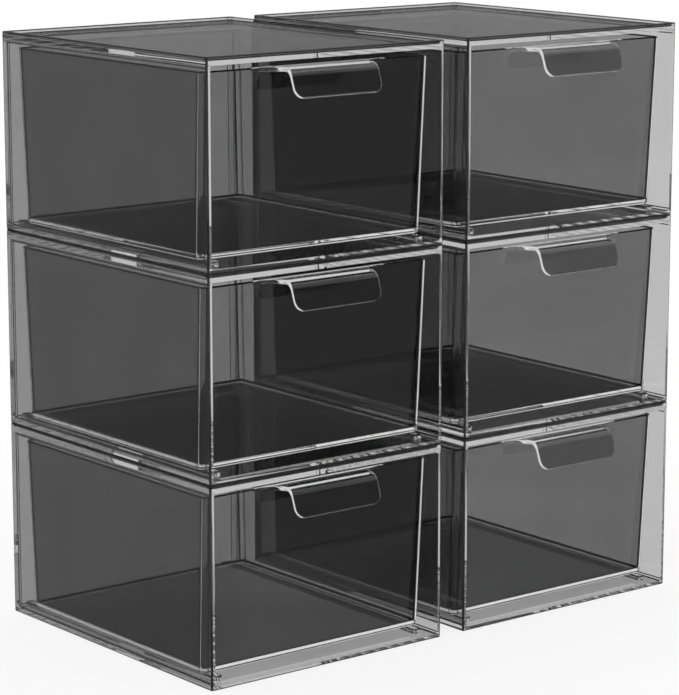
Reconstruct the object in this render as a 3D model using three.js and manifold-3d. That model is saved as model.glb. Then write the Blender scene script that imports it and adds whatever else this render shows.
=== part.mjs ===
// Stackable acrylic makeup organizer drawers: two free-standing stacks of three units.
// Each unit is a moulded five-walled housing with one pull-out drawer, and stands on the rim
// of the unit below.
// Millimetres, +Z up. The fronts face -Y. The origin is on the ground under the middle.

import * as THREE from 'three';
import { mergeVertices } from 'three/addons/utils/BufferGeometryUtils.js';
import Module from 'manifold-3d';

const wasm = await Module();
wasm.setup();

// How the units are set out
const column_names = ['left', 'right'];
const level_names = ['bottom', 'middle', 'top'];
const column_gap = 17;

// Housing
const unit_width = 162;
const unit_depth = 198;
const body_height = 111.6; // from the underside to the top panel's upper face
const housing_wall = 2.3;
const housing_back_corner_radius = 1.5;
const housing_front_corner_radius = 1;
const housing_edge_radius = 0.5;
const cavity_corner_radius = 1.8;
const cavity_back_radius = 3;

// Raised rim round the top panel, which carries the unit above
const rim_height = 2.4;
const rim_thickness = 1.6;
const rim_inner_radius = 2.4;
const rim_root_radius = 0.5;

// Runners on the housing floor
const runner_width = 5;
const runner_height = 2.7;
const runner_side_offset = 5.8; // from the housing's inner side face
const runner_setback = 7.5; // from the housing's front face
const runner_nose_radius = 2;
const runner_edge_radius = 0.6;

// Drawer tub, whose walls lean in towards its floor
const drawer_running_gap = 0.3; // between the runners and the drawer's underside
const drawer_top_gap = 3.8; // between the drawer's top edge and the top panel
const drawer_side_gap = 1.5; // between the drawer's top edge and the housing's side wall
const drawer_front_recess = 8.7; // from the housing's front face to the drawer's top edge
const drawer_back_gap = 8.9; // from the drawer's top edge to the housing's back wall
const drawer_wall = 2;
const drawer_floor = 2.5;
const drawer_side_draft = 1.2;
const drawer_front_draft = 4.8;
const drawer_back_draft = 4.1;
const drawer_corner_radius = 4;
const drawer_bottom_radius = 1.6;
const drawer_inner_bottom_radius = 1.2;
const drawer_lip_radius = 0.4;

// Curled handle, moulded in one with the drawer's front wall
const handle_thickness = 2.4;
const handle_width = 60;
const handle_root_width = 92;
const handle_flare_depth = 8;
const handle_ledge_run = 8.5; // flat stretch from the front wall to the curl
const handle_curl_radius = 7; // to the outer face
const handle_drop = 16.1;
const handle_corner_radius = 6;
const handle_curl_angle = THREE.MathUtils.degToRad(70);

// One overrun serves every cut and every joined root
const overrun = 1;

// Facets on each kind of round
const corner_steps = 4;
const edge_steps = 2;
const curl_steps = 9;

// Sizes that follow from the driving dimensions
const level_pitch = body_height + rim_height;
const cavity_side = unit_width / 2 - housing_wall;
const cavity_back = unit_depth - housing_wall;
const cavity_top = body_height - housing_wall;
const drawer_bottom = housing_wall + runner_height + drawer_running_gap;
const drawer_top = cavity_top - drawer_top_gap;
const drawer_half_width = cavity_side - drawer_side_gap;
const drawer_back = cavity_back - drawer_back_gap;

const smoke_acrylic = {
  color: 0x6a6968,
  roughness: 0.03,
  metalness: 0,
  transparent: true,
  opacity: 0.45,
};

// One level ring of a rounded rectangle, anticlockwise seen from above
function roundedRing({ left, right, front, back, z, frontRadius, backRadius }) {
  const corners = [
    { x: left + frontRadius, y: front + frontRadius, radius: frontRadius, turn: 2 },
    { x: right - frontRadius, y: front + frontRadius, radius: frontRadius, turn: 3 },
    { x: right - backRadius, y: back - backRadius, radius: backRadius, turn: 0 },
    { x: left + backRadius, y: back - backRadius, radius: backRadius, turn: 1 },
  ];
  const ring = [];
  for (const corner of corners) {
    for (let step = 0; step <= corner_steps; step += 1) {
      const angle = (corner.turn + step / corner_steps) * Math.PI / 2;
      const x = corner.x + corner.radius * Math.cos(angle);
      const y = corner.y + corner.radius * Math.sin(angle);
      ring.push(new THREE.Vector3(x, y, z));
    }
  }
  return ring;
}

// The same rounded rectangle drawn in by an inset on all four sides
function insetRing(box, inset, z) {
  return roundedRing({
    left: box.left + inset,
    right: box.right - inset,
    front: box.front + inset,
    back: box.back - inset,
    z,
    frontRadius: box.frontRadius - inset,
    backRadius: box.backRadius - inset,
  });
}

// Inset and rise of each step round a quarter-circle edge, from its flat face outwards
function edgeProfile(radius) {
  const profile = [];
  for (let step = 0; step <= edge_steps; step += 1) {
    const angle = (step / edge_steps) * Math.PI / 2;
    profile.push({ inset: radius * (1 - Math.sin(angle)), rise: radius * (1 - Math.cos(angle)) });
  }
  return profile;
}

// Skin from ring to ring, closed with a fan over the first and the last ring
function loft(rings) {
  const positions = [];
  const indices = [];
  const count = rings[0].length;
  for (const ring of rings) {
    for (const point of ring) positions.push(point.x, point.y, point.z);
  }
  for (let level = 0; level + 1 < rings.length; level += 1) {
    for (let i = 0; i < count; i += 1) {
      const a = level * count + i;
      const b = level * count + (i + 1) % count;
      indices.push(a, b, b + count);
      indices.push(a, b + count, a + count);
    }
  }
  const last = (rings.length - 1) * count;
  for (let i = 1; i + 1 < count; i += 1) {
    indices.push(0, i + 1, i);
    indices.push(last, last + i, last + i + 1);
  }
  const geometry = new THREE.BufferGeometry();
  geometry.setAttribute('position', new THREE.Float32BufferAttribute(positions, 3));
  geometry.setIndex(indices);
  return geometry;
}

// An upright block with rounded corners and rounded lower and upper edges
function roundedBlock(box, bottom, top, bottomRadius, topRadius) {
  const rings = [];
  for (const { inset, rise } of edgeProfile(bottomRadius)) {
    rings.push(insetRing(box, inset, bottom + rise));
  }
  for (const { inset, rise } of edgeProfile(topRadius).reverse()) {
    rings.push(insetRing(box, inset, top - rise));
  }
  return loft(rings);
}

// An upright block with a rounded lower edge and a plain open end above
function pocketBlock(box, bottom, top, bottomRadius) {
  const rings = edgeProfile(bottomRadius).map(({ inset, rise }) => insetRing(box, inset, bottom + rise));
  rings.push(insetRing(box, 0, top));
  return loft(rings);
}

// Boolean work
function toSolid(source) {
  const geometry = source.clone();
  geometry.deleteAttribute('normal');
  geometry.deleteAttribute('uv');
  const merged = mergeVertices(geometry);
  return new wasm.Manifold(new wasm.Mesh({
    numProp: 3,
    vertProperties: new Float32Array(merged.attributes.position.array),
    triVerts: new Uint32Array(merged.index.array),
  }));
}

function toGeometry(solid) {
  const mesh = solid.getMesh();
  const geometry = new THREE.BufferGeometry();
  geometry.setAttribute('position', new THREE.BufferAttribute(mesh.vertProperties, 3));
  geometry.setIndex(new THREE.BufferAttribute(mesh.triVerts, 1));
  geometry.computeVertexNormals();
  return geometry;
}

// Housing: a moulded box open at the front, with a tray on top and runners on its floor
function housingShell() {
  return toSolid(roundedBlock({
    left: -unit_width / 2,
    right: unit_width / 2,
    front: 0,
    back: unit_depth,
    frontRadius: housing_front_corner_radius,
    backRadius: housing_back_corner_radius,
  }, 0, body_height + rim_height, housing_edge_radius, housing_edge_radius));
}

function housingCavity() {
  // The front rounds stand clear of the housing, so that the cavity opens at its full size
  return toSolid(roundedBlock({
    left: -cavity_side,
    right: cavity_side,
    front: -cavity_back_radius - overrun,
    back: cavity_back,
    frontRadius: cavity_back_radius,
    backRadius: cavity_back_radius,
  }, housing_wall, cavity_top, cavity_corner_radius, cavity_corner_radius));
}

function topTray() {
  return toSolid(pocketBlock({
    left: -unit_width / 2 + rim_thickness,
    right: unit_width / 2 - rim_thickness,
    front: rim_thickness,
    back: unit_depth - rim_thickness,
    frontRadius: rim_inner_radius,
    backRadius: rim_inner_radius,
  }, body_height, body_height + rim_height + overrun, rim_root_radius));
}

function floorRunner(side) {
  const outer = cavity_side - runner_side_offset;
  const inner = outer - runner_width;
  return toSolid(roundedBlock({
    left: Math.min(side * outer, side * inner),
    right: Math.max(side * outer, side * inner),
    front: runner_setback,
    back: cavity_back + housing_wall / 2,
    frontRadius: runner_nose_radius,
    backRadius: runner_nose_radius,
  }, housing_wall / 2, housing_wall + runner_height, runner_edge_radius, runner_edge_radius));
}

function housingGeometry() {
  const solid = housingShell()
    .subtract(housingCavity())
    .subtract(topTray())
    .add(floorRunner(-1))
    .add(floorRunner(1));
  return toGeometry(solid);
}

// Drawer tub: outer skin up, over the top edge, and the inner skin down to the floor
function drawerBox(z, offset) {
  const fall = (drawer_top - z) / (drawer_top - drawer_bottom);
  const halfWidth = drawer_half_width - drawer_side_draft * fall - offset;
  return {
    left: -halfWidth,
    right: halfWidth,
    front: drawer_front_recess + drawer_front_draft * fall + offset,
    back: drawer_back - drawer_back_draft * fall - offset,
    frontRadius: drawer_corner_radius - offset,
    backRadius: drawer_corner_radius - offset,
  };
}

function drawerRing(z, offset) {
  return insetRing(drawerBox(z, offset), 0, z);
}

function drawerTub() {
  const floor = drawer_bottom + drawer_floor;
  const rings = [];
  for (const { inset, rise } of edgeProfile(drawer_bottom_radius)) {
    rings.push(drawerRing(drawer_bottom + rise, inset));
  }
  for (const { inset, rise } of edgeProfile(drawer_lip_radius).reverse()) {
    rings.push(drawerRing(drawer_top - rise, inset));
  }
  for (const { inset, rise } of edgeProfile(drawer_lip_radius)) {
    rings.push(drawerRing(drawer_top - rise, drawer_wall - inset));
  }
  for (const { inset, rise } of edgeProfile(drawer_inner_bottom_radius).reverse()) {
    rings.push(drawerRing(floor + rise, drawer_wall + inset));
  }
  return toSolid(loft(rings));
}

// Handle: a curled strip whose ends flare into the drawer's top edge
function handleStrip() {
  const half = handle_thickness / 2;
  const middle = handle_curl_radius - half;
  const across = Math.sin(handle_curl_angle);
  const along = Math.cos(handle_curl_angle);
  const lip = (handle_drop - handle_curl_radius + middle * along - half) / across;
  const root = drawer_front_recess + drawer_wall / 2;
  const curlY = drawer_front_recess - handle_ledge_run;
  const curlZ = drawer_top - handle_curl_radius;
  const endY = curlY - middle * across - lip * along;
  const endZ = curlZ + middle * along - lip * across;
  const start = Math.PI / 2;
  const finish = start + handle_curl_angle;

  const profile = new THREE.Shape();
  profile.moveTo(root, drawer_top);
  profile.lineTo(curlY, drawer_top);
  profile.absarc(curlY, curlZ, handle_curl_radius, start, finish, false);
  profile.absarc(endY, endZ, half, finish, finish + Math.PI, false);
  profile.absarc(curlY, curlZ, handle_curl_radius - handle_thickness, finish, start, true);
  profile.lineTo(root, drawer_top - handle_thickness);
  profile.closePath();

  const strip = new THREE.ExtrudeGeometry(profile, {
    depth: handle_root_width,
    bevelEnabled: false,
    curveSegments: curl_steps,
  });
  const sideways = new THREE.Matrix4().makeBasis(
    new THREE.Vector3(0, 1, 0),
    new THREE.Vector3(0, 0, 1),
    new THREE.Vector3(1, 0, 0),
  );
  strip.applyMatrix4(sideways);
  strip.translate(-handle_root_width / 2, 0, 0);
  return toSolid(strip);
}

function handlePlan() {
  const flare = (handle_root_width - handle_width) / 2;
  const root = drawer_front_recess + drawer_wall;
  const tip = drawer_front_recess - handle_flare_depth;
  const front = -handle_ledge_run - handle_curl_radius - handle_drop;

  const outline = new THREE.Shape();
  outline.moveTo(-handle_root_width / 2, root);
  outline.lineTo(-handle_root_width / 2, drawer_front_recess);
  outline.absellipse(-handle_root_width / 2, tip, flare, handle_flare_depth, Math.PI / 2, 0, true);
  outline.lineTo(-handle_width / 2, front);
  outline.lineTo(handle_width / 2, front);
  outline.absellipse(handle_root_width / 2, tip, flare, handle_flare_depth, Math.PI, Math.PI / 2, true);
  outline.lineTo(handle_root_width / 2, root);
  outline.closePath();

  const plan = new THREE.ExtrudeGeometry(outline, {
    depth: handle_drop + 2 * overrun,
    bevelEnabled: false,
    curveSegments: curl_steps,
  });
  plan.translate(0, 0, drawer_top - handle_drop - overrun);
  return toSolid(plan);
}

function handleFront() {
  const bottom = drawer_top - handle_drop;
  const shoulder = drawer_top - handle_thickness;
  const radius = handle_corner_radius;

  const outline = new THREE.Shape();
  outline.moveTo(-handle_width / 2 + radius, bottom);
  outline.lineTo(handle_width / 2 - radius, bottom);
  outline.absarc(handle_width / 2 - radius, bottom + radius, radius, -Math.PI / 2, 0, false);
  outline.lineTo(handle_width / 2, shoulder - overrun);
  outline.lineTo(handle_root_width / 2 + overrun, shoulder - overrun);
  outline.lineTo(handle_root_width / 2 + overrun, drawer_top + overrun);
  outline.lineTo(-handle_root_width / 2 - overrun, drawer_top + overrun);
  outline.lineTo(-handle_root_width / 2 - overrun, shoulder - overrun);
  outline.lineTo(-handle_width / 2, shoulder - overrun);
  outline.absarc(-handle_width / 2 + radius, bottom + radius, radius, Math.PI, Math.PI * 3 / 2, false);
  outline.closePath();

  const reach = 2 * (handle_ledge_run + handle_curl_radius + handle_drop);
  const front = new THREE.ExtrudeGeometry(outline, {
    depth: reach,
    bevelEnabled: false,
    curveSegments: curl_steps,
  });
  front.rotateX(Math.PI / 2);
  front.translate(0, drawer_front_recess + drawer_wall, 0);
  return toSolid(front);
}

function drawerGeometry() {
  const handle = handleStrip().intersect(handlePlan()).intersect(handleFront());
  return toGeometry(drawerTub().add(handle));
}

// Assembly
function part(name, geometry, finish) {
  const mesh = new THREE.Mesh(geometry, new THREE.MeshStandardMaterial(finish));
  mesh.name = name;
  return mesh;
}

function unitGroup(unitName, shapes) {
  const unit = new THREE.Group();
  unit.add(part(`housing_${unitName}`, shapes.housing, smoke_acrylic));
  unit.add(part(`drawer_${unitName}`, shapes.drawer, smoke_acrylic));
  return unit;
}

function organizer() {
  const shapes = {
    housing: housingGeometry(),
    drawer: drawerGeometry(),
  };
  const column_pitch = unit_width + column_gap;
  const set = new THREE.Group();
  column_names.forEach((column, columnIndex) => {
    level_names.forEach((level, levelIndex) => {
      const unit = unitGroup(`${column}_${level}`, shapes);
      const x = (columnIndex - (column_names.length - 1) / 2) * column_pitch;
      unit.position.set(x, 0, levelIndex * level_pitch);
      set.add(unit);
    });
  });
  const bounds = new THREE.Box3().setFromObject(set);
  set.position.y = -(bounds.min.y + bounds.max.y) / 2;
  return set;
}

const assembly = new THREE.Group();
assembly.add(organizer());

export default assembly;
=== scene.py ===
"""Acrylic organizer drawers: two free-standing stacks of three clear smoke-grey units.

Each unit is a moulded housing, open at the front, with a pull-out drawer, and stands on the rim
of the unit below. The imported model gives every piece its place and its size. This script makes
the fine moulded surfaces, the clear plastic, the studio and the camera. Lengths are in metres,
+Z is up and the drawers open towards -Y.
"""

import math

import bmesh
import bpy
from bpy.props import FloatProperty, FloatVectorProperty, PointerProperty
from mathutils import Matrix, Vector


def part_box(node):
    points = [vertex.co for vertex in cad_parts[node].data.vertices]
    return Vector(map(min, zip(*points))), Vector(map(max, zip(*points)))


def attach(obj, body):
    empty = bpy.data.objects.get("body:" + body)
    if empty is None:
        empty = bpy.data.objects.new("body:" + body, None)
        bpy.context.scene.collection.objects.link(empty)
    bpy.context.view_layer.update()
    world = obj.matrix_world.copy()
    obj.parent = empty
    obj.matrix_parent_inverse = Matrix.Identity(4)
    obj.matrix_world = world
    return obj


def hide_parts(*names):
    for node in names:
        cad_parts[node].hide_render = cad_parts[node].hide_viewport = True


bl_info = {
    "name": "Acrylic Organizer Drawers",
    "version": (1, 0, 0),
    "blender": (4, 5, 0),
    "location": "View3D > Sidebar > Organizer",
    "description": "Dresses the stacked housings and drawers in clear smoke-grey plastic",
    "category": "Object",
}

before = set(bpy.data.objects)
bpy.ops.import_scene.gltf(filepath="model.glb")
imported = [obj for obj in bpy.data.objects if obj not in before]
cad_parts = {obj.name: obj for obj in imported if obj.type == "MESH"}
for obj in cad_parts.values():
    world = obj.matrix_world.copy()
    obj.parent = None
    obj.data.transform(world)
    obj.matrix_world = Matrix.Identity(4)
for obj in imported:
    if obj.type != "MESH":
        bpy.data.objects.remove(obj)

COLUMNS = ("left", "right")
LEVELS = ("bottom", "middle", "top")
UNITS = tuple(f"{column}_{level}" for column in COLUMNS for level in LEVELS)

# Facets on each kind of round
CORNER_STEPS = 8
EDGE_STEPS = 4
CURL_STEPS = 20
FLARE_STEPS = 12
FLOOR_STEPS = 96
SMOOTH_ANGLE = math.radians(40)

# Rounds up to the tight radius are marked throughout for a painted shade, and up to the wide radius
# at their ends.
# A face that runs further than the flat run is no part of a round.
TIGHT_RADIUS = 0.0013
WIDE_RADIUS = 0.0043
FLAT_RUN = 0.0015
SMALL_TURN = math.radians(2)

# One overrun serves every cut and every joined root
OVERRUN = 0.001

# Coincident faces of two clear pieces are kept this far apart
AIR_GAP = 0.00003

# A ray may be mirrored many times along the inside of a wall before it leaves at the wall's end
BOUNCES = 256

# A face whose share of mirrored light is above this traps all of it
FULL_MIRROR = 0.99

# Finish of the studio's floor, a matt paper
FLOOR_ROUGHNESS = 0.9

# Octaves of each soft noise, and how far the handled patches stand out from the rest
HAZE_DETAIL = 3
FLOW_DETAIL = 2
WAVE_DETAIL = 1
HAZE_CONTRAST = 3

UNIT_LOW, UNIT_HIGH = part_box("housing_left_bottom")


def length(name, description, default):
    """A size in metres"""
    return FloatProperty(name=name, description=description, default=default, unit="LENGTH")


def share(name, description, default):
    """A plain factor or share"""
    return FloatProperty(name=name, description=description, default=default)


def angle(name, description, degrees):
    """An angle, given in degrees and kept in radians"""
    return FloatProperty(
        name=name, description=description, default=math.radians(degrees), subtype="ANGLE"
    )


def colour(name, description, default):
    """A linear colour"""
    return FloatVectorProperty(
        name=name, description=description, default=default, subtype="COLOR", size=3
    )


class HousingSizes(bpy.types.PropertyGroup):
    """Sizes of one moulded housing"""

    width: length("Width", "Outside width", UNIT_HIGH.x - UNIT_LOW.x)
    depth: length("Depth", "Outside depth", UNIT_HIGH.y - UNIT_LOW.y)
    height: length("Height", "From the underside to the top of the rim", UNIT_HIGH.z - UNIT_LOW.z)
    wall: length("Wall", "Thickness of floor, sides, back and top panel", 0.0023)
    back_corner: length("Back corner", "Outside radius of the upright back corners", 0.0015)
    front_corner: length("Front corner", "Outside radius of the upright front corners", 0.001)
    edge: length("Edge", "Radius of the outer edges", 0.0008)
    cavity_corner: length("Cavity corner", "Radius along the inside corners", 0.0018)
    cavity_back: length("Cavity back", "Radius of the inside upright back corners", 0.003)
    rim_height: length("Rim height", "Height of the raised rim over the top panel", 0.0024)
    rim_wall: length("Rim wall", "Thickness of the raised rim", 0.0016)
    rim_corner: length("Rim corner", "Inside corner radius of the raised rim", 0.0024)
    rim_root: length("Rim root", "Fillet between the rim and the top panel", 0.0008)


class RunnerSizes(bpy.types.PropertyGroup):
    """Sizes of the two runners on a housing's floor"""

    width: length("Width", "Width of one runner", 0.005)
    height: length("Height", "Height over the housing's floor", 0.0027)
    offset: length("Offset", "From the housing's inner side face", 0.0058)
    setback: length("Setback", "From the housing's front face", 0.0075)
    nose: length("Nose", "Radius of the runner's ends seen from above", 0.002)
    edge: length("Edge", "Radius of the runner's upper edges", 0.0006)


class DrawerSizes(bpy.types.PropertyGroup):
    """Sizes of one drawer tub, whose walls lean in towards its floor"""

    running_gap: length("Running gap", "Between the runners and the underside", 0.0003)
    top_gap: length("Top gap", "Between the top edge and the top panel", 0.0038)
    side_gap: length("Side gap", "Between the top edge and the side wall", 0.0015)
    front_recess: length("Front recess", "From the housing's front face to the top edge", 0.0087)
    back_gap: length("Back gap", "Between the top edge and the back wall", 0.0089)
    wall: length("Wall", "Wall thickness", 0.002)
    floor: length("Floor", "Floor thickness", 0.0025)
    side_draft: length("Side draft", "How far a side wall leans in", 0.0012)
    front_draft: length("Front draft", "How far the front wall leans in", 0.0048)
    back_draft: length("Back draft", "How far the back wall leans in", 0.0041)
    corner: length("Corner", "Outside radius of the upright corners", 0.004)
    bottom: length("Bottom", "Outside radius round the floor", 0.0016)
    inner_bottom: length("Inner bottom", "Inside radius round the floor", 0.0012)
    lip: length("Lip", "Radius on the top edge", 0.0009)


class HandleSizes(bpy.types.PropertyGroup):
    """Sizes of the curled handle, which is moulded in one with the drawer"""

    thickness: length("Thickness", "Thickness of the curled strip", 0.0024)
    width: length("Width", "Width of the lip", 0.060)
    root_width: length("Root width", "Width where the strip flares into the wall", 0.092)
    flare: length("Flare", "How far out the flare reaches", 0.008)
    ledge: length("Ledge", "Flat run from the wall to the curl", 0.0085)
    curl: length("Curl", "Outer radius of the curl", 0.007)
    drop: length("Drop", "From the top edge down to the lip's lower edge", 0.0161)
    corner: length("Corner", "Radius of the lip's lower corners", 0.006)
    turn: angle("Turn", "Angle of the curl from level", 70)


class SmokeFinish(bpy.types.PropertyGroup):
    """Clear smoke-grey acrylic"""

    tint: colour("Tint", "What is left of the light that enters one wall", (0.545, 0.545, 0.545))
    tint_change: share("Tint change", "How much the tint changes along the flow", 0.03)
    flow_size: length("Flow size", "Width of the flow streaks", 0.045)
    roughness: share("Roughness", "Polish of the faces", 0.004)
    haze: share("Haze", "How much rougher handled patches are", 0.01)
    haze_size: length("Haze size", "Width of the handled patches", 0.03)
    wave_size: length("Wave size", "Width of the moulding's faint waves", 0.035)
    wave_height: length("Wave height", "Height of the moulding's faint waves", 0.00001)
    refraction: share("Refraction", "Index of refraction", 1.49)
    sheen: share("Sheen", "Share of a bare face's mirroring that the polish shows", 1.0)
    # Painted glow: after more than these turns, light in a piece is replaced by a white emission at
    # the glow level
    housing_painted_glow_turns: share("Housing turns", "Turns in a housing after which light is even", 200)
    drawer_painted_glow_turns: share("Drawer turns", "Turns in a drawer after which light is even", 9)
    painted_glow: share("Glow", "Level of light that has turned so often in a wall that it is even", 0.95)
    # Painted shade: the share by which the tint of the marked rounds is darkened
    round_shade: share("Round shade", "Share of light that the small rounds bend out of sight", 0.9)


class StudioLook(bpy.types.PropertyGroup):
    """Floor, room and light"""

    white: share("White", "Strength of the white floor, seen straight or through walls", 0.80)
    floor_colour: colour("Floor", "Colour of the floor in the room's light", (0.20, 0.20, 0.20))
    floor_radius: length("Floor radius", "Radius of the floor", 12.0)
    light: share("Light", "Level of the even light on every surface", 1.0)
    mirrored: share("Mirrored floor", "Level of the floor that bare faces mirror", 0.3)
    mirrored_room: share("Mirrored room", "Level of the room that bare faces mirror", 0.18)
    dark: share("Dark", "Grey of the room's dark sides in light that the walls turn", 0.02)
    backdrop: angle("Backdrop", "Heading of the white backdrop's middle", 38.6)
    backdrop_full: angle("Backdrop to", "Half of the angle that the white backdrop fills", 12)
    backdrop_end: angle("Backdrop end", "Half of the angle at which the backdrop ends", 20)
    backdrop_low: angle("Backdrop top", "Height up to which the backdrop is white", 0)
    backdrop_high: angle("Ceiling from", "Height from which the room is dark", 6)
    turns: share("Turns", "Turns inside a wall after which light shows the white wall", 1.5)
    wall_full: angle("Wall to", "Half of the angle that the white wall behind fills", 55)
    wall_end: angle("Wall end", "Half of the angle at which the white wall ends", 63)
    wall_low: angle("Wall top", "Height up to which the white wall is white", 15)
    wall_high: angle("Wall ceiling", "Height from which the white wall is dark", 25)
    panel_low: angle("Panel from", "Height at which the overhead light panel begins", 26)
    panel_high: angle("Panel full", "Height from which the overhead light panel is full", 38)


class CameraLook(bpy.types.PropertyGroup):
    """Where the camera stands and looks"""

    place: FloatVectorProperty(
        name="Place",
        description="The lens, in the object's own frame",
        default=(-1.04942, -1.30538, 0.48595),
        subtype="TRANSLATION",
        size=3,
    )
    heading: angle("Heading", "Turn to the right from the object's depth", 38.594)
    tilt: angle("Tilt", "Angle below level", 11.224)
    focal: share("Focal length", "In millimetres on a 36 mm long side", 150.05)


# Mesh building


def rounded_ring(plan, inset, z):
    """One level ring of a rounded rectangle, drawn in by an inset, anticlockwise from above"""
    left, right, front, back, front_radius, back_radius = plan
    near = front_radius - inset
    far = back_radius - inset
    corners = (
        (left + inset + near, front + inset + near, near, 2),
        (right - inset - near, front + inset + near, near, 3),
        (right - inset - far, back - inset - far, far, 0),
        (left + inset + far, back - inset - far, far, 1),
    )
    ring = []
    for x, y, radius, turn in corners:
        for step in range(CORNER_STEPS + 1):
            theta = (turn + step / CORNER_STEPS) * math.pi / 2
            ring.append(Vector((x + radius * math.cos(theta), y + radius * math.sin(theta), z)))
    return ring


def edge_profile(radius):
    """Inset and rise of each step round a quarter-circle edge, from its flat face outwards"""
    angles = [step / EDGE_STEPS * math.pi / 2 for step in range(EDGE_STEPS + 1)]
    return [(radius * (1 - math.sin(a)), radius * (1 - math.cos(a))) for a in angles]


def loft(name, rings):
    """A closed skin from ring to ring, with a flat face over the first and the last"""
    bm = bmesh.new()
    levels = [[bm.verts.new(point) for point in ring] for ring in rings]
    count = len(levels[0])
    for lower, upper in zip(levels, levels[1:]):
        for i in range(count):
            j = (i + 1) % count
            bm.faces.new((lower[i], lower[j], upper[j], upper[i]))
    bm.faces.new(reversed(levels[0]))
    bm.faces.new(levels[-1])
    bmesh.ops.remove_doubles(bm, verts=bm.verts, dist=1e-8)
    bmesh.ops.recalc_face_normals(bm, faces=bm.faces)
    mesh = bpy.data.meshes.new(name)
    bm.to_mesh(mesh)
    bm.free()
    return mesh


def rounded_block(name, plan, bottom, top, bottom_radius, top_radius):
    """An upright block with rounded corners and rounded lower and upper edges"""
    rings = []
    for inset, rise in edge_profile(bottom_radius):
        rings.append(rounded_ring(plan, inset, bottom + rise))
    for inset, rise in reversed(edge_profile(top_radius)):
        rings.append(rounded_ring(plan, inset, top - rise))
    return loft(name, rings)


def pocket_block(name, plan, bottom, top, bottom_radius):
    """An upright block with a rounded lower edge and a plain open end above"""
    rings = []
    for inset, rise in edge_profile(bottom_radius):
        rings.append(rounded_ring(plan, inset, bottom + rise))
    rings.append(rounded_ring(plan, 0, top))
    return loft(name, rings)


def combine(mesh, tools):
    """The mesh with each tool joined to it or cut from it, in turn"""
    scene = bpy.context.scene
    for operation, tool in tools:
        body = bpy.data.objects.new("body", mesh)
        cutter = bpy.data.objects.new("cutter", tool)
        scene.collection.objects.link(body)
        scene.collection.objects.link(cutter)
        cut = body.modifiers.new("cut", "BOOLEAN")
        cut.operation = operation
        cut.solver = "EXACT"
        cut.object = cutter
        shaped = body.evaluated_get(bpy.context.evaluated_depsgraph_get())
        mesh = bpy.data.meshes.new_from_object(shaped)
        bpy.data.objects.remove(body)
        bpy.data.objects.remove(cutter)
    if not mesh.polygons:
        raise RuntimeError(f"{mesh.name} came out of its joins and cuts empty")
    return mesh


def smooth(mesh, name):
    """Smooth shading on the rounds, with the true corners kept crisp"""
    mesh.name = name
    mesh.shade_smooth()
    mesh.set_sharp_from_angle(angle=SMOOTH_ANGLE)
    return mesh


def mark_painted_shade_rounds(mesh, start):
    """Marks the faces of tight rounds, and the first and last faces of wider ones, for a painted
    shade that darkens their tint, from a start in depth onwards"""
    bm = bmesh.new()
    bm.from_mesh(mesh)
    shade_mark = bm.faces.layers.float.new("round")
    for face in bm.faces:
        if face.calc_center_median().y < start:
            continue
        area = face.calc_area()
        radii = []
        meets_flat = False
        for edge in face.edges:
            turn = edge.calc_face_angle(0)
            if not SMALL_TURN < turn < SMOOTH_ANGLE:
                continue
            run = area / edge.calc_length()
            radii.append(run / turn)
            other = next(near for near in edge.link_faces if near != face)
            if other.calc_area() / edge.calc_length() > FLAT_RUN:
                meets_flat = True
        if radii and (min(radii) < TIGHT_RADIUS or meets_flat and min(radii) < WIDE_RADIUS):
            face[shade_mark] = 1
    bm.to_mesh(mesh)
    bm.free()


def dressed_piece(name, mesh, place, material, body, node):
    """Stands a fine piece where its node is and lets it ride on the node's body"""
    piece = bpy.data.objects.new(name, mesh)
    bpy.context.scene.collection.objects.link(piece)
    piece.location = place
    normals = piece.modifiers.new("even faces", "WEIGHTED_NORMAL")
    normals.keep_sharp = True
    if not mesh.materials:
        mesh.materials.append(material)
    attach(piece, body)
    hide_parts(node)
    return piece


def unit_place(unit):
    """The middle of the front edge of a housing's underside"""
    low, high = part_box(f"housing_{unit}")
    return Vector(((low.x + high.x) / 2, low.y, low.z))


def sizes():
    """All of the part's sizes and looks"""
    return bpy.context.scene.organizer


# Housing


def housing_mesh():
    """A moulded box open at the front, with a tray on top and runners on its floor"""
    s = sizes().housing
    half = s.width / 2
    body_top = s.height - s.rim_height
    outside = (-half, half, 0, s.depth, s.front_corner, s.back_corner)
    # The underside keeps a hair's breadth over the rim that it stands on
    shell = rounded_block("shell", outside, AIR_GAP, s.height, s.edge, s.edge)

    # The cavity's front rounds stand clear of the housing, so that it opens at its full size
    inner = half - s.wall
    round_off = s.cavity_corner
    opening = (
        -inner,
        inner,
        -round_off - OVERRUN,
        s.depth - s.wall,
        round_off,
        s.cavity_back,
    )
    cavity = rounded_block("cavity", opening, s.wall, body_top - s.wall, round_off, round_off)

    tray_plan = (
        s.rim_wall - half,
        half - s.rim_wall,
        s.rim_wall,
        s.depth - s.rim_wall,
        s.rim_corner,
        s.rim_corner,
    )
    tray = pocket_block("tray", tray_plan, body_top, s.height + OVERRUN, s.rim_root)
    runners = [("UNION", runner_mesh(side)) for side in (-1, 1)]
    return combine(shell, [("DIFFERENCE", cavity), ("DIFFERENCE", tray), *runners])


def runner_mesh(side):
    """One low runner, rooted in the floor and the back wall"""
    s = sizes().housing
    r = sizes().runner
    outer = s.width / 2 - s.wall - r.offset
    edges = sorted((side * outer, side * (outer - r.width)))
    plan = (*edges, r.setback, s.depth - s.wall / 2, r.nose, r.nose)
    return rounded_block("runner", plan, s.wall / 2, s.wall + r.height, r.edge, r.edge)


# Drawer


def drawer_levels():
    """Heights of the drawer's underside and top edge over the housing's underside"""
    s = sizes().housing
    d = sizes().drawer
    bottom = s.wall + sizes().runner.height + d.running_gap
    top = s.height - s.rim_height - s.wall - d.top_gap
    return bottom, top


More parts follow.
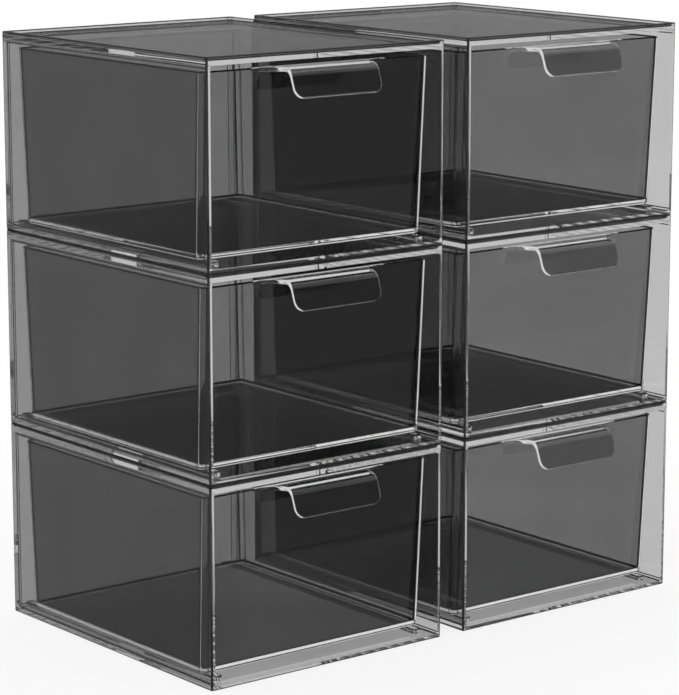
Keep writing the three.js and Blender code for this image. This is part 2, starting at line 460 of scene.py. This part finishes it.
def drawer_ring(z, offset):
    """One level ring of the leaning walls, set in by an offset from their outer face"""
    s = sizes().housing
    d = sizes().drawer
    bottom, top = drawer_levels()
    fall = (top - z) / (top - bottom)
    half = s.width / 2 - s.wall - d.side_gap - d.side_draft * fall
    front = d.front_recess + d.front_draft * fall
    back = s.depth - s.wall - d.back_gap - d.back_draft * fall
    return rounded_ring((-half, half, front, back, d.corner, d.corner), offset, z)


def drawer_tub():
    """Outer skin up, over the top edge, and the inner skin down to the floor"""
    d = sizes().drawer
    bottom, top = drawer_levels()
    floor = bottom + d.floor
    rings = [drawer_ring(bottom + rise, inset) for inset, rise in edge_profile(d.bottom)]
    for inset, rise in reversed(edge_profile(d.lip)):
        rings.append(drawer_ring(top - rise, inset))
    for inset, rise in edge_profile(d.lip):
        rings.append(drawer_ring(top - rise, d.wall - inset))
    for inset, rise in reversed(edge_profile(d.inner_bottom)):
        rings.append(drawer_ring(floor + rise, d.wall + inset))
    return loft("tub", rings)


def handle_route():
    """Middle line of the strip: (run, point, outward normal) of each station, and its end"""
    h = sizes().handle
    d = sizes().drawer
    top = drawer_levels()[1]
    half = h.thickness / 2
    middle = h.curl - half
    root_y = d.front_recess + d.wall / 2
    # A hair short, so that the true round stays within the solid's facets
    curl_y = d.front_recess - h.ledge + AIR_GAP
    curl_z = top - h.curl
    across = Vector((0, -math.sin(h.turn), math.cos(h.turn)))
    down = Vector((0, -math.cos(h.turn), -math.sin(h.turn)))
    lip = (h.drop - h.curl + middle * math.cos(h.turn)) / math.sin(h.turn)
    ledge_run = root_y - curl_y
    curl_run = middle * h.turn
    total = ledge_run + curl_run + lip

    def at(run):
        """Point and outward normal of the middle line at a run from the root"""
        if run <= ledge_run:
            return Vector((0, root_y - run, top - half)), Vector((0, 0, 1))
        if run <= ledge_run + curl_run:
            theta = (run - ledge_run) / middle
            out = Vector((0, -math.sin(theta), math.cos(theta)))
            return Vector((0, curl_y, curl_z)) + out * middle, out
        start = Vector((0, curl_y, curl_z)) + across * middle
        return start + down * (run - ledge_run - curl_run), across

    return at, ledge_run, curl_run, total


def handle_stations():
    """Runs along the strip with its half width and half thickness there"""
    h = sizes().handle
    d = sizes().drawer
    at, ledge_run, curl_run, total = handle_route()
    half = h.thickness / 2
    root = h.root_width / 2
    lip = h.width / 2
    wall_run = d.wall / 2
    stations = [(0, root, half), (wall_run, root, half)]
    for step in range(1, FLARE_STEPS + 1):
        theta = step / FLARE_STEPS * math.pi / 2
        run = wall_run + h.flare * (1 - math.cos(theta))
        stations.append((run, root - (root - lip) * math.sin(theta), half))
    for step in range(1, CURL_STEPS + 1):
        stations.append((ledge_run + curl_run * step / CURL_STEPS, lip, half))
    for step in range(1, CURL_STEPS + 1):
        theta = step / CURL_STEPS * math.pi / 2
        run = total - h.corner * (1 - math.sin(theta))
        width = lip - h.corner * (1 - math.cos(theta))
        depth = max(0, run - (total - half)) / half
        thin = half * math.sqrt(max(0, 1 - depth * depth))
        stations.append((run, width, max(thin, half / CURL_STEPS)))
    return at, stations


def handle_strip():
    """The curled strip with full-round edges, lofted from its root to the end of its lip"""
    at, stations = handle_stations()
    rings = []
    for run, width, thin in stations:
        point, out = at(run)
        ring = []
        for side in (1, -1):
            for step in range(CORNER_STEPS + 1):
                theta = (step / CORNER_STEPS - 0.5) * math.pi
                x = side * (width - thin + thin * math.cos(theta))
                ring.append(point + Vector((x, 0, 0)) + out * (side * thin * math.sin(theta)))
        rings.append(ring)
    return loft("strip", rings)


def drawer_mesh():
    """The tub with its handle grown out of the front wall's top edge"""
    return combine(drawer_tub(), [("UNION", handle_strip())])


# Shader groups and materials


def new_group(name, inputs, outputs):
    """An empty shader node group with its sockets, and the nodes that carry them"""
    group = bpy.data.node_groups.new(name, "ShaderNodeTree")
    for label, kind, default in inputs:
        socket = group.interface.new_socket(label, in_out="INPUT", socket_type=kind)
        socket.default_value = default
    for label, kind in outputs:
        group.interface.new_socket(label, in_out="OUTPUT", socket_type=kind)
    return group, group.nodes.new("NodeGroupInput"), group.nodes.new("NodeGroupOutput")


def math_node(group, operation, *values):
    """A math node whose inputs are numbers or other nodes' sockets"""
    node = group.nodes.new("ShaderNodeMath")
    node.operation = operation
    for socket, value in zip(node.inputs, values):
        if isinstance(value, bpy.types.NodeSocket):
            group.links.new(value, socket)
        else:
            socket.default_value = value
    return node.outputs[0]


def soft_noise(group, size, detail):
    """Noise over the piece's own surface, with patches of a given width"""
    place = group.nodes.new("ShaderNodeTexCoord").outputs["Object"]
    noise = group.nodes.new("ShaderNodeTexNoise")
    noise.inputs["Detail"].default_value = detail
    group.links.new(place, noise.inputs["Vector"])
    group.links.new(math_node(group, "DIVIDE", 1, size), noise.inputs["Scale"])
    return noise.outputs["Fac"]


def polish_group():
    """Roughness that rises in soft handled patches"""
    group, inputs, outputs = new_group(
        "polish",
        [
            ("Roughness", "NodeSocketFloat", 0.01),
            ("Haze", "NodeSocketFloat", 0.01),
            ("Haze Size", "NodeSocketFloat", 0.03),
        ],
        [("Roughness", "NodeSocketFloat")],
    )
    patch = soft_noise(group, inputs.outputs["Haze Size"], HAZE_DETAIL)
    patch = math_node(group, "POWER", patch, HAZE_CONTRAST)
    haze = math_node(group, "MULTIPLY", patch, inputs.outputs["Haze"])
    rough = math_node(group, "ADD", haze, inputs.outputs["Roughness"])
    group.links.new(rough, outputs.inputs["Roughness"])
    return group


def tint_flow_and_shade_group():
    """Tint that changes faintly along the streaks that the melt left, with a painted shade that
    darkens it on the marked rounds
    """
    group, inputs, outputs = new_group(
        "flow",
        [
            ("Tint", "NodeSocketColor", (0.5, 0.5, 0.5, 1)),
            ("Change", "NodeSocketFloat", 0.03),
            ("Flow Size", "NodeSocketFloat", 0.04),
            ("Round Shade", "NodeSocketFloat", 0.9),
        ],
        [("Tint", "NodeSocketColor")],
    )
    streak = soft_noise(group, inputs.outputs["Flow Size"], FLOW_DETAIL)
    swing = math_node(group, "MULTIPLY_ADD", streak, 2, -1)
    change = math_node(group, "MULTIPLY_ADD", swing, inputs.outputs["Change"], 1)
    # Painted shade: the tint is darkened on the faces marked as rounds
    rounds = group.nodes.new("ShaderNodeAttribute")
    rounds.attribute_name = "round"
    shade = math_node(group, "MULTIPLY", rounds.outputs["Fac"], inputs.outputs["Round Shade"])
    change = math_node(group, "MULTIPLY", change, math_node(group, "SUBTRACT", 1, shade))
    scale = group.nodes.new("ShaderNodeVectorMath")
    scale.operation = "SCALE"
    group.links.new(inputs.outputs["Tint"], scale.inputs[0])
    group.links.new(change, scale.inputs["Scale"])
    group.links.new(scale.outputs[0], outputs.inputs["Tint"])
    return group


def wave_group():
    """Height of the faint waves that a mould leaves on a large face"""
    group, inputs, outputs = new_group(
        "moulding waves",
        [
            ("Wave Size", "NodeSocketFloat", 0.03),
            ("Wave Height", "NodeSocketFloat", 0.00001),
        ],
        [("Height", "NodeSocketFloat")],
    )
    wave = soft_noise(group, inputs.outputs["Wave Size"], WAVE_DETAIL)
    height = math_node(group, "MULTIPLY", wave, inputs.outputs["Wave Height"])
    group.links.new(height, outputs.inputs["Height"])
    return group


def shared_group(name, make):
    """A shader group by name, made the first time that a material asks for it"""
    return bpy.data.node_groups.get(name) or make()


def place_group(tree, group, **values):
    """A group node in a material with its own values"""
    node = tree.nodes.new("ShaderNodeGroup")
    node.node_tree = group
    for label, value in values.items():
        node.inputs[label.replace("_", " ")].default_value = value
    return node


def smoke_material(name, painted_glow_turns):
    """Clear smoke-grey acrylic, fresh from a polished mould. It bends light and mirrors little of
    it. Light that has turned inside its walls more than a number of times is replaced by a painted
    glow, a plain white emission"""
    finish = sizes().smoke
    material = bpy.data.materials.new(name)
    material.use_nodes = True
    tree = material.node_tree
    tree.nodes.remove(tree.nodes["Principled BSDF"])
    bend = tree.nodes.new("ShaderNodeBsdfRefraction")
    bend.inputs["IOR"].default_value = finish.refraction
    mirror = tree.nodes.new("ShaderNodeBsdfGlossy")
    mirror.inputs["Color"].default_value = (1, 1, 1, 1)
    fresnel = tree.nodes.new("ShaderNodeFresnel")
    fresnel.inputs["IOR"].default_value = finish.refraction
    trapped = math_node(tree, "GREATER_THAN", fresnel.outputs[0], FULL_MIRROR)
    sheen = math_node(tree, "MULTIPLY", fresnel.outputs[0], finish.sheen)
    mix = tree.nodes.new("ShaderNodeMixShader")
    tree.links.new(math_node(tree, "MAXIMUM", trapped, sheen), mix.inputs[0])
    tree.links.new(bend.outputs[0], mix.inputs[1])
    tree.links.new(mirror.outputs[0], mix.inputs[2])
    # Painted glow: light that has turned more than the given number of times shows a white emission
    # in place of traced light
    painted_glow = tree.nodes.new("ShaderNodeEmission")
    painted_glow.inputs["Color"].default_value = (1, 1, 1, 1)
    painted_glow.inputs["Strength"].default_value = finish.painted_glow
    turns = tree.nodes.new("ShaderNodeLightPath").outputs["Glossy Depth"]
    even = tree.nodes.new("ShaderNodeMixShader")
    tree.links.new(math_node(tree, "GREATER_THAN", turns, painted_glow_turns), even.inputs[0])
    tree.links.new(mix.outputs[0], even.inputs[1])
    tree.links.new(painted_glow.outputs[0], even.inputs[2])
    tree.links.new(even.outputs[0], tree.nodes["Material Output"].inputs["Surface"])
    polish = place_group(
        tree,
        shared_group("polish", polish_group),
        Roughness=finish.roughness,
        Haze=finish.haze,
        Haze_Size=finish.haze_size,
    )
    for shader in (bend, mirror):
        tree.links.new(polish.outputs["Roughness"], shader.inputs["Roughness"])

    # Light crosses two faces of a wall, and each face takes the same share. The tint group also
    # paints shade onto the marked rounds
    flow = place_group(
        tree,
        shared_group("flow", tint_flow_and_shade_group),
        Tint=(*(math.sqrt(part) for part in finish.tint), 1),
        Change=finish.tint_change,
        Flow_Size=finish.flow_size,
        Round_Shade=finish.round_shade,
    )
    tree.links.new(flow.outputs["Tint"], bend.inputs["Color"])
    waves = place_group(
        tree,
        shared_group("moulding waves", wave_group),
        Wave_Size=finish.wave_size,
        Wave_Height=finish.wave_height,
    )
    bump = tree.nodes.new("ShaderNodeBump")
    bump.inputs["Distance"].default_value = 1
    tree.links.new(waves.outputs["Height"], bump.inputs["Height"])
    for node in (bend, mirror, fresnel):
        tree.links.new(bump.outputs["Normal"], node.inputs["Normal"])
    return material


# Studio


def fade(tree, value, start, end):
    """Falls smoothly from 1 at start to 0 at end"""
    node = tree.nodes.new("ShaderNodeMapRange")
    node.interpolation_type = "SMOOTHSTEP"
    node.inputs["From Min"].default_value = start
    node.inputs["From Max"].default_value = end
    node.inputs["To Min"].default_value = 1
    node.inputs["To Max"].default_value = 0
    tree.links.new(value, node.inputs["Value"])
    return node.outputs[0]


def white_patch(tree, heading, height, middle, width, rise):
    """A white part of the room about a heading, with soft ends across and above"""
    towards = tree.nodes.new("ShaderNodeVectorMath")
    towards.operation = "DOT_PRODUCT"
    towards.inputs[1].default_value = (math.sin(middle), math.cos(middle), 0)
    tree.links.new(heading, towards.inputs[0])
    across = fade(tree, towards.outputs["Value"], *(math.cos(turn) for turn in width))
    up = fade(tree, height, *(math.sin(turn) for turn in rise))
    return math_node(tree, "MULTIPLY", across, up)


def room_light(tree, place, mirrored):
    """What the room shows from the origin towards a place. Light that comes straight is white.
    Light that has turned inside a wall shows a white backdrop in a dark room, or after more turns
    a white wall, and bare faces mirror an even room of a given level under a light panel"""
    look = sizes().studio
    way = tree.nodes.new("ShaderNodeVectorMath")
    way.operation = "NORMALIZE"
    tree.links.new(place, way.inputs[0])
    flat = tree.nodes.new("ShaderNodeVectorMath")
    flat.operation = "MULTIPLY"
    flat.inputs[1].default_value = (1, 1, 0)
    tree.links.new(place, flat.inputs[0])
    heading = tree.nodes.new("ShaderNodeVectorMath")
    heading.operation = "NORMALIZE"
    tree.links.new(flat.outputs[0], heading.inputs[0])
    height = tree.nodes.new("ShaderNodeSeparateXYZ")
    tree.links.new(way.outputs[0], height.inputs[0])
    backdrop = white_patch(
        tree,
        heading.outputs[0],
        height.outputs["Z"],
        look.backdrop,
        (look.backdrop_full, look.backdrop_end),
        (look.backdrop_low, look.backdrop_high),
    )
    wall = white_patch(
        tree,
        heading.outputs[0],
        height.outputs["Z"],
        0,
        (look.wall_full, look.wall_end),
        (look.wall_low, look.wall_high),
    )
    path = tree.nodes.new("ShaderNodeLightPath")
    turns = path.outputs["Glossy Depth"]
    straight = math_node(tree, "LESS_THAN", turns, 0.5)
    many = math_node(tree, "GREATER_THAN", turns, look.turns)
    few = math_node(tree, "SUBTRACT", 1, many)
    turned = math_node(tree, "MULTIPLY_ADD", many, wall, math_node(tree, "MULTIPLY", few, backdrop))
    white = math_node(tree, "MAXIMUM", straight, turned)
    light = math_node(tree, "MULTIPLY_ADD", white, 1 - look.dark, look.dark)
    bare = path.outputs["Is Reflection Ray"]
    below = fade(tree, height.outputs["Z"], math.sin(look.panel_low), math.sin(look.panel_high))
    panel = math_node(tree, "MULTIPLY_ADD", below, mirrored - 1, 1)
    light = math_node(tree, "MULTIPLY", light, math_node(tree, "SUBTRACT", 1, bare))
    return path, math_node(tree, "MULTIPLY_ADD", bare, panel, light)


def studio_floor():
    """A wide pale floor, which keeps the object's shadow"""
    look = sizes().studio
    bm = bmesh.new()
    angles = [step / FLOOR_STEPS * math.tau for step in range(FLOOR_STEPS)]
    ring = [Vector((math.cos(a), math.sin(a), 0)) * look.floor_radius for a in angles]
    bm.faces.new([bm.verts.new(point) for point in ring])
    mesh = bpy.data.meshes.new("studio_floor")
    bm.to_mesh(mesh)
    bm.free()
    floor = bpy.data.objects.new("studio_floor", mesh)
    bpy.context.scene.collection.objects.link(floor)
    floor.location.z = -AIR_GAP

    material = bpy.data.materials.new("pale_floor")
    material.use_nodes = True
    tree = material.node_tree
    shader = tree.nodes["Principled BSDF"]
    shader.inputs["Roughness"].default_value = FLOOR_ROUGHNESS
    shader.inputs["Specular IOR Level"].default_value = 0
    shader.inputs["Emission Color"].default_value = (1, 1, 1, 1)
    place = tree.nodes.new("ShaderNodeTexCoord").outputs["Object"]
    path, light = room_light(tree, place, look.mirrored)
    paint = tree.nodes.new("ShaderNodeVectorMath")
    paint.operation = "SCALE"
    paint.inputs[0].default_value = look.floor_colour
    tree.links.new(light, paint.inputs["Scale"])
    tree.links.new(paint.outputs[0], shader.inputs["Base Color"])
    seen = math_node(tree, "ADD", path.outputs["Is Camera Ray"], path.outputs["Is Glossy Ray"])
    seen = math_node(tree, "ADD", seen, path.outputs["Is Transmission Ray"])
    seen = math_node(tree, "MULTIPLY", math_node(tree, "MINIMUM", seen, 1), look.white)
    tree.links.new(math_node(tree, "MULTIPLY", seen, light), shader.inputs["Emission Strength"])
    mesh.materials.append(material)


def studio_room():
    """Even light on every surface and white behind the object"""
    look = sizes().studio
    world = bpy.data.worlds.new("studio")
    bpy.context.scene.world = world
    world.cycles.sampling_method = "NONE"
    world.use_nodes = True
    tree = world.node_tree
    place = tree.nodes.new("ShaderNodeTexCoord").outputs["Generated"]
    path, light = room_light(tree, place, look.mirrored_room)
    plain = math_node(tree, "ADD", path.outputs["Is Camera Ray"], path.outputs["Diffuse Depth"])
    plain = math_node(tree, "MULTIPLY", math_node(tree, "MINIMUM", plain, 1), look.light)
    strength = math_node(tree, "MAXIMUM", plain, light)
    tree.nodes["Background"].inputs["Color"].default_value = (1, 1, 1, 1)
    tree.links.new(strength, tree.nodes["Background"].inputs["Strength"])


# Operators


class ORGANIZER_OT_housings(bpy.types.Operator):
    """Makes the six moulded housings"""

    bl_idname = "organizer.housings"
    bl_label = "Make housings"

    def execute(self, context):
        mesh = smooth(housing_mesh(), "moulded_housing")
        # Marks the rounds that get a painted shade
        mark_painted_shade_rounds(mesh, 0)
        material = smoke_material("smoke_acrylic_housing_finish", sizes().smoke.housing_painted_glow_turns)
        for unit in UNITS:
            dressed_piece(
                f"moulded_housing_{unit}",
                mesh,
                unit_place(unit),
                material,
                "stacks",
                f"housing_{unit}",
            )
        return {"FINISHED"}


class ORGANIZER_OT_drawers(bpy.types.Operator):
    """Makes the six drawers with their curled handles"""

    bl_idname = "organizer.drawers"
    bl_label = "Make drawers"

    def execute(self, context):
        mesh = smooth(drawer_mesh(), "moulded_drawer")
        # Marks the rounds that get a painted shade
        mark_painted_shade_rounds(mesh, sizes().drawer.front_recess)
        material = smoke_material("smoke_acrylic_drawer_finish", sizes().smoke.drawer_painted_glow_turns)
        for unit in UNITS:
            dressed_piece(
                f"moulded_drawer_{unit}",
                mesh,
                unit_place(unit),
                material,
                f"{unit}_drawer",
                f"drawer_{unit}",
            )
        return {"FINISHED"}


class ORGANIZER_OT_stage(bpy.types.Operator):
    """Sets up the floor, the room's light and the camera"""

    bl_idname = "organizer.stage"
    bl_label = "Set the stage"

    def execute(self, context):
        scene = context.scene
        studio_floor()
        studio_room()
        look = sizes().camera
        data = bpy.data.cameras.new("camera")
        data.lens = look.focal
        camera = bpy.data.objects.new("camera", data)
        scene.collection.objects.link(camera)
        camera.location = look.place
        camera.rotation_euler = (math.pi / 2 - look.tilt, 0, -look.heading)
        scene.camera = camera
        scene.view_settings.view_transform = "Standard"
        scene.cycles.max_bounces = BOUNCES
        scene.cycles.transmission_bounces = BOUNCES
        scene.cycles.glossy_bounces = BOUNCES
        return {"FINISHED"}


class OrganizerSettings(bpy.types.PropertyGroup):
    """Everything that a user would change"""

    housing: PointerProperty(type=HousingSizes)
    runner: PointerProperty(type=RunnerSizes)
    drawer: PointerProperty(type=DrawerSizes)
    handle: PointerProperty(type=HandleSizes)
    smoke: PointerProperty(type=SmokeFinish)
    studio: PointerProperty(type=StudioLook)
    camera: PointerProperty(type=CameraLook)


class ORGANIZER_PT_panel(bpy.types.Panel):
    """Lists the operators in the 3D view's sidebar"""

    bl_idname = "ORGANIZER_PT_panel"
    bl_label = "Organizer drawers"
    bl_space_type = "VIEW_3D"
    bl_region_type = "UI"
    bl_category = "Organizer"

    def draw(self, context):
        for operator in OPERATORS:
            self.layout.operator(operator.bl_idname)


GROUPS = (
    HousingSizes,
    RunnerSizes,
    DrawerSizes,
    HandleSizes,
    SmokeFinish,
    StudioLook,
    CameraLook,
    OrganizerSettings,
)
OPERATORS = (
    ORGANIZER_OT_housings,
    ORGANIZER_OT_drawers,
    ORGANIZER_OT_stage,
)


def register():
    for cls in (*GROUPS, *OPERATORS, ORGANIZER_PT_panel):
        bpy.utils.register_class(cls)
    bpy.types.Scene.organizer = PointerProperty(type=OrganizerSettings)


def unregister():
    del bpy.types.Scene.organizer
    for cls in reversed((*GROUPS, *OPERATORS, ORGANIZER_PT_panel)):
        bpy.utils.unregister_class(cls)


def corners(bounds):
    """A box's two corners as plain lists"""
    return [list(corner) for corner in bounds]


def main():
    register()
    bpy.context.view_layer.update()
    bpy.ops.organizer.housings()
    bpy.ops.organizer.drawers()
    bpy.ops.organizer.stage()


if __name__ == "__main__":
    main()
